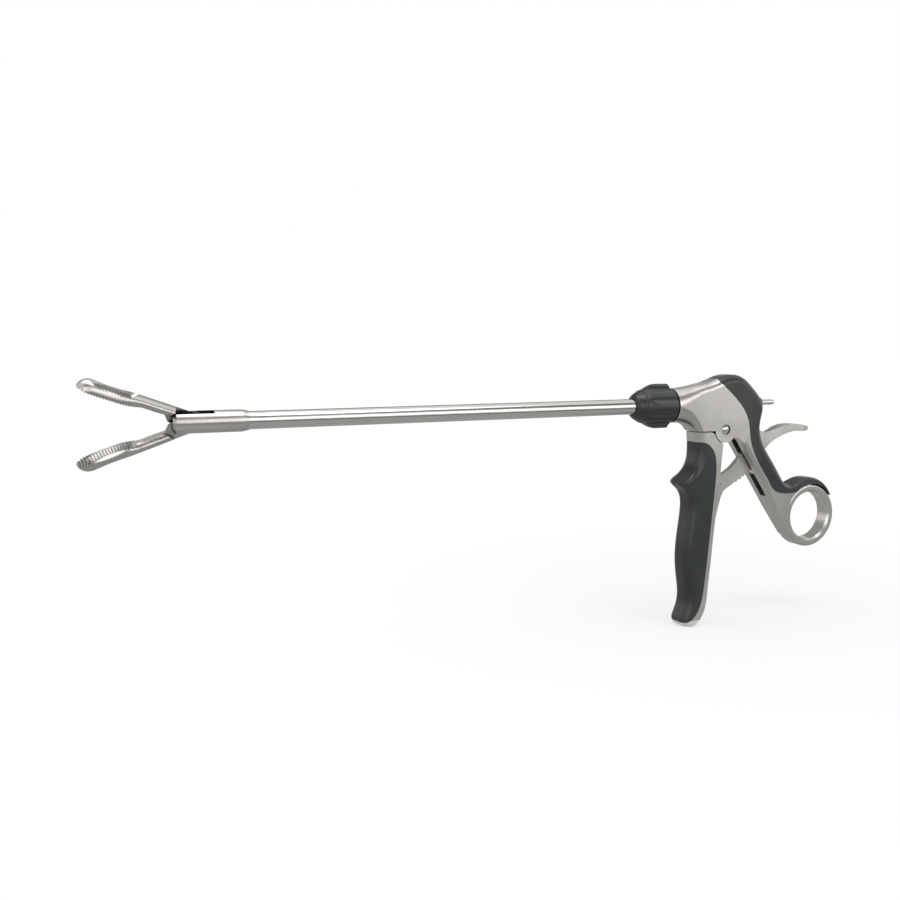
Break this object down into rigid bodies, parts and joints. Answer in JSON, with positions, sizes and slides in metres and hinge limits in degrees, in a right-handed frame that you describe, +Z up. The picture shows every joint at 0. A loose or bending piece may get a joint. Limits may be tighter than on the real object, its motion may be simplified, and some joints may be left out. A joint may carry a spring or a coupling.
{
  "type": "laparoscopic grasping forceps",
  "caption": "Laparoscopic forceps with hinged serrated fenestrated jaws, long tube, rotation knob and a ring handle with ratchet and plug pin.",
  "frame": {"origin": "on the shaft's axis, 2.5 mm behind the nose of the rotation knob", "axes": "+X back along the shaft to the plug pin, +Z up away from the finger grip, +Y through the handle's thickness"},
  "size_m": [0.4215, 0.024, 0.1433],
  "materials": {
    "jaw_steel": "satin",
    "tube_steel": "fine ground",
    "handle_steel": "satin",
    "bright_steel": "bright",
    "grip_plastic": "moulded",
    "knob_plastic": "moulded",
    "insulation": "moulded",
    "seal_rubber": "soft"
  },
  "bodies": {
    "handle": {"handle_body": "handle_steel", "back_pad": "grip_plastic", "plug_pin": "bright_steel", "plug_collar": "insulation", "pivot_screw": "bright_steel", "pivot_nut": "bright_steel", "ratchet_catch": "bright_steel", "catch_pin": "bright_steel", "neck_bush": "insulation", "neck_seal": "seal_rubber"},
    "front_grip": {"grip_lever": "handle_steel", "grip_pad": "grip_plastic", "pivot_bush": "bright_steel", "leaf_pin": "bright_steel"},
    "ratchet": {"ratchet_bar": "handle_steel"},
    "shaft": {"jaw_sleeve": "jaw_steel", "outer_tube": "tube_steel", "jaw_pivot_pin": "jaw_steel", "rotation_knob": "knob_plastic", "knob_hub": "bright_steel", "retaining_ring": "bright_steel", "rod_seal": "seal_rubber"},
    "rod": {"push_rod": "bright_steel", "rod_yoke": "bright_steel", "drive_pin": "bright_steel", "rod_ball": "bright_steel"},
    "jaw_upper": {"upper_jaw": "jaw_steel"},
    "jaw_lower": {"lower_jaw": "jaw_steel"}
  },
  "joints": [
    {"name": "grip_pivot", "type": "hinge", "parent": "handle", "child": "front_grip", "pos_m": [0.055, 0, -0.0139], "axis": [0, -1, 0], "range_deg": [0, 16]},
    {"name": "ratchet_press", "type": "hinge", "parent": "front_grip", "child": "ratchet", "pos_m": [0.0465, 0, -0.071], "axis": [0, 1, 0], "range_deg": [0, 0.75], "stiffness_Nm_per_rad": 8},
    {"name": "shaft_rotation", "type": "hinge", "parent": "handle", "child": "shaft", "pos_m": [0.03, 0, 0], "axis": [1, 0, 0], "continuous": true},
    {"name": "rod_slide", "type": "slide", "parent": "shaft", "child": "rod", "axis": [-1, 0, 0], "range_m": [0, 0.00399]},
    {"name": "upper_jaw_hinge", "type": "hinge", "parent": "shaft", "child": "jaw_upper", "pos_m": [-0.2357, 0, 0], "axis": [0, -0.9205, -0.3907], "range_deg": [0, 22]},
    {"name": "lower_jaw_hinge", "type": "hinge", "parent": "shaft", "child": "jaw_lower", "pos_m": [-0.2357, 0, 0], "axis": [0, 0.9205, 0.3907], "range_deg": [0, 22]}
  ],
  "couplings": [
    {"joint": "rod_slide", "follows": "grip_pivot", "m_per_rad": 0.01427},
    {"joint": "upper_jaw_hinge", "follows": "grip_pivot", "ratio": 1.375},
    {"joint": "lower_jaw_hinge", "follows": "grip_pivot", "ratio": 1.375}
  ]
}
